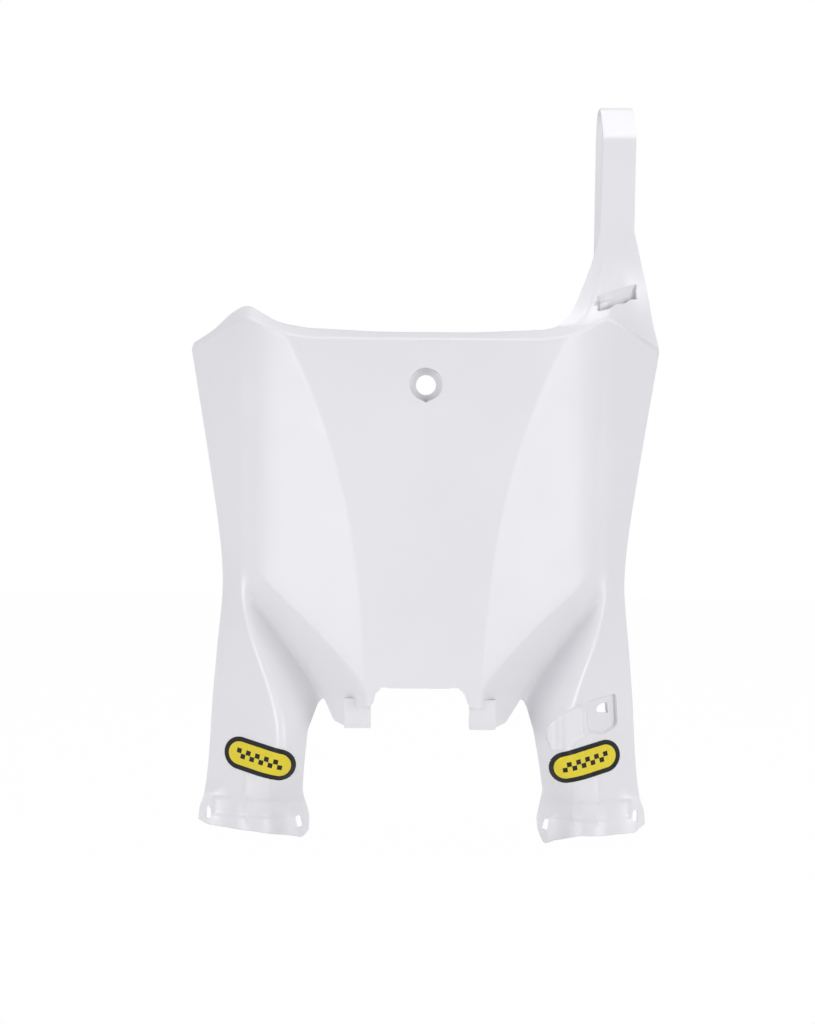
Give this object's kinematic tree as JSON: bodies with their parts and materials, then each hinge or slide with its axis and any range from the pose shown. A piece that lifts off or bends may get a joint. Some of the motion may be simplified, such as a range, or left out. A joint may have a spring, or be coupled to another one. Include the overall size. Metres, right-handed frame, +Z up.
{
  "type": "racing number board",
  "caption": "Moulded front number board for an off-road motorbike, with two fork legs, a handlebar strap and a recessed fixing hole.",
  "frame": {"origin": "centre of the fixing hole's recess, at the front face of the number panel", "axes": "+Z up the board, the number panel faces -Y, +X to the right as seen from the front"},
  "size_m": [0.2942, 0.099, 0.4623],
  "materials": {
    "white_plastic": "satin",
    "sticker": "gloss"
  },
  "bodies": {
    "root": {"number_board": "white_plastic", "left_decal": "sticker", "right_decal": "sticker"}
  },
  "joints": []
}
